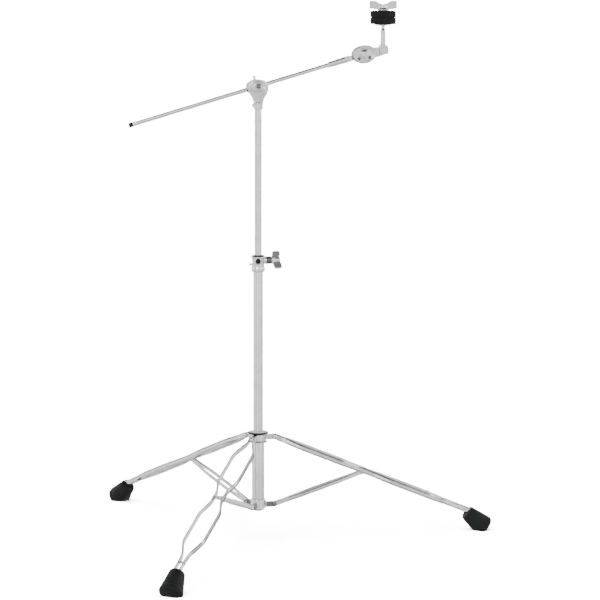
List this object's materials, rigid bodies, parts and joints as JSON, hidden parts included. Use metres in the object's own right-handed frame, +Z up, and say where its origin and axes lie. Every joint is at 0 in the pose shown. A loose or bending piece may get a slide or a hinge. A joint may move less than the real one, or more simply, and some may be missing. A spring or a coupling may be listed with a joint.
{
  "type": "cymbal boom stand",
  "caption": "Folding double-braced tripod cymbal stand with a telescoping mast, a sliding and tilting boom rod, a toothless tilter and a felt-padded cymbal seat.",
  "frame": {"origin": "on the floor, under the middle of the outline seen from above", "axes": "+Z up the mast, +X towards the cymbal end of the boom, -Y towards the viewer"},
  "size_m": [0.8396, 0.954, 1.2106],
  "materials": {
    "chrome": "polished chrome plate",
    "dark_metal": "dark zinc",
    "rubber": "moulded matte rubber",
    "nylon": "black nylon",
    "felt": "pressed black felt"
  },
  "bodies": {
    "base": {"base_tube": "chrome", "base_tube_end_cap": "nylon", "lower_collar": "chrome", "lower_collar_screw": "dark_metal", "spacer_sleeve": "chrome", "height_clamp": "chrome", "clamp_badge": "nylon", "clamp_washer": "dark_metal"},
    "leg_collar": {"leg_collar": "chrome", "leg_collar_bushing": "nylon"},
    "collar_wing_screw": {"leg_collar_wing_screw": "chrome"},
    "leg_right": {"leg_right_strap_a": "chrome", "leg_right_strap_b": "chrome", "leg_right_pivot_pin": "chrome", "leg_right_foot_rivet": "chrome", "foot_right": "rubber"},
    "brace_right": {"brace_right_strap_a": "chrome", "brace_right_strap_b": "chrome", "brace_right_pivot_pin": "chrome", "brace_right_end_rivet": "chrome"},
    "leg_back": {"leg_back_strap_a": "chrome", "leg_back_strap_b": "chrome", "leg_back_pivot_pin": "chrome", "leg_back_foot_rivet": "chrome", "foot_back": "rubber"},
    "brace_back": {"brace_back_strap_a": "chrome", "brace_back_strap_b": "chrome", "brace_back_pivot_pin": "chrome", "brace_back_end_rivet": "chrome"},
    "leg_front": {"leg_front_strap_a": "chrome", "leg_front_strap_b": "chrome", "leg_front_pivot_pin": "chrome", "leg_front_foot_rivet": "chrome", "foot_front": "rubber"},
    "brace_front": {"brace_front_strap_a": "chrome", "brace_front_strap_b": "chrome", "brace_front_pivot_pin": "chrome", "brace_front_end_rivet": "chrome"},
    "height_wing_bolt": {"height_wing_bolt": "chrome"},
    "swivel_bush": {"swivel_bush": "nylon"},
    "upper_mast": {"upper_tube": "chrome", "boom_bracket": "chrome", "bracket_set_screw": "chrome", "boom_pivot_bolt": "dark_metal"},
    "boom_holder": {"boom_holder": "chrome"},
    "boom_wing_screw": {"boom_wing_screw": "chrome"},
    "boom_liner": {"boom_liner": "nylon"},
    "boom_rod": {"boom_rod": "chrome", "boom_end_cap": "nylon", "tilter_socket": "chrome", "tilter_bolt": "dark_metal"},
    "tilter_arm": {"tilter_arm": "chrome", "cymbal_rod": "chrome", "seat_washer": "chrome", "cymbal_sleeve": "nylon", "felt_lower": "felt", "felt_upper": "felt"},
    "tilter_wing_nut": {"tilter_wing_nut": "chrome"},
    "top_wing_nut": {"top_wing_nut": "chrome"}
  },
  "joints": [
    {"name": "leg_collar_slide", "type": "slide", "parent": "base", "child": "leg_collar", "axis": [0, 0, 1], "range_m": [0, 0.2873]},
    {"name": "collar_wing_screw_turn", "type": "hinge", "parent": "leg_collar", "child": "collar_wing_screw", "pos_m": [-0.12589, 0.00362, 0.2345], "axis": [0.5, 0.866, 0], "continuous": true},
    {"name": "leg_right_fold", "type": "hinge", "parent": "leg_collar", "child": "leg_right", "pos_m": [-0.08789, 0.00415, 0.2355], "axis": [-0.014, 0.9999, 0], "range_deg": [0, 61.5]},
    {"name": "brace_right_fold", "type": "hinge", "parent": "base", "child": "brace_right", "pos_m": [-0.08789, 0.00415, 0.07994], "axis": [-0.014, 0.9999, 0], "range_deg": [-65.87, 0]},
    {"name": "leg_back_fold", "type": "hinge", "parent": "leg_collar", "child": "leg_back", "pos_m": [-0.14535, 0.03626, 0.2355], "axis": [-0.859, -0.512, 0], "range_deg": [0, 61.5]},
    {"name": "brace_back_fold", "type": "hinge", "parent": "base", "child": "brace_back", "pos_m": [-0.14535, 0.03626, 0.07994], "axis": [-0.859, -0.512, 0], "range_deg": [-65.87, 0]},
    {"name": "leg_front_fold", "type": "hinge", "parent": "leg_collar", "child": "leg_front", "pos_m": [-0.14443, -0.02955, 0.2355], "axis": [0.8729, -0.4879, 0], "range_deg": [0, 61.5]},
    {"name": "brace_front_fold", "type": "hinge", "parent": "base", "child": "brace_front", "pos_m": [-0.14443, -0.02955, 0.07994], "axis": [0.8729, -0.4879, 0], "range_deg": [-65.87, 0]},
    {"name": "height_wing_bolt_turn", "type": "hinge", "parent": "base", "child": "height_wing_bolt", "pos_m": [-0.12589, 0.00362, 0.6362], "axis": [0.9962, 0.0872, 0], "continuous": true},
    {"name": "upper_mast_turn", "type": "hinge", "parent": "base", "child": "swivel_bush", "pos_m": [-0.12589, 0.00362, 0.62], "axis": [0, 0, 1], "continuous": true},
    {"name": "upper_mast_slide", "type": "slide", "parent": "swivel_bush", "child": "upper_mast", "axis": [0, 0, 1], "range_m": [-0.32, 0.09]},
    {"name": "boom_tilt", "type": "hinge", "parent": "upper_mast", "child": "boom_holder", "pos_m": [-0.12589, 0.02462, 1.0245], "axis": [0, -1, 0], "range_deg": [-50, 55]},
    {"name": "boom_wing_screw_turn", "type": "hinge", "parent": "boom_holder", "child": "boom_wing_screw", "pos_m": [-0.12589, 0.03742, 1.0245], "axis": [0, 1, 0], "continuous": true},
    {"name": "boom_rod_turn", "type": "hinge", "parent": "boom_holder", "child": "boom_liner", "pos_m": [-0.12589, 0.02462, 1.0215], "axis": [0.9598, 0, 0.2807], "continuous": true},
    {"name": "boom_rod_slide", "type": "slide", "parent": "boom_liner", "child": "boom_rod", "axis": [0.9598, 0, 0.2807], "range_m": [-0.12, 0.22]},
    {"name": "tilter_tilt", "type": "hinge", "parent": "boom_rod", "child": "tilter_arm", "pos_m": [0.11579, 0.02462, 1.09217], "axis": [0, -1, 0], "range_deg": [-85, 55]},
    {"name": "tilter_wing_nut_turn", "type": "hinge", "parent": "tilter_arm", "child": "tilter_wing_nut", "pos_m": [0.11579, 0.03552, 1.09217], "axis": [0, 1, 0], "continuous": true},
    {"name": "top_wing_nut_turn", "type": "hinge", "parent": "tilter_arm", "child": "top_wing_nut", "pos_m": [0.16051, 0.02962, 1.189], "axis": [0, 0, 1], "continuous": true}
  ],
  "couplings": [
    {"joint": "leg_right_fold", "follows": "leg_collar_slide", "rad_per_m": 3.7239},
    {"joint": "brace_right_fold", "follows": "leg_collar_slide", "rad_per_m": -3.9894},
    {"joint": "leg_back_fold", "follows": "leg_collar_slide", "rad_per_m": 3.7239},
    {"joint": "brace_back_fold", "follows": "leg_collar_slide", "rad_per_m": -3.9894},
    {"joint": "leg_front_fold", "follows": "leg_collar_slide", "rad_per_m": 3.7239},
    {"joint": "brace_front_fold", "follows": "leg_collar_slide", "rad_per_m": -3.9894}
  ]
}
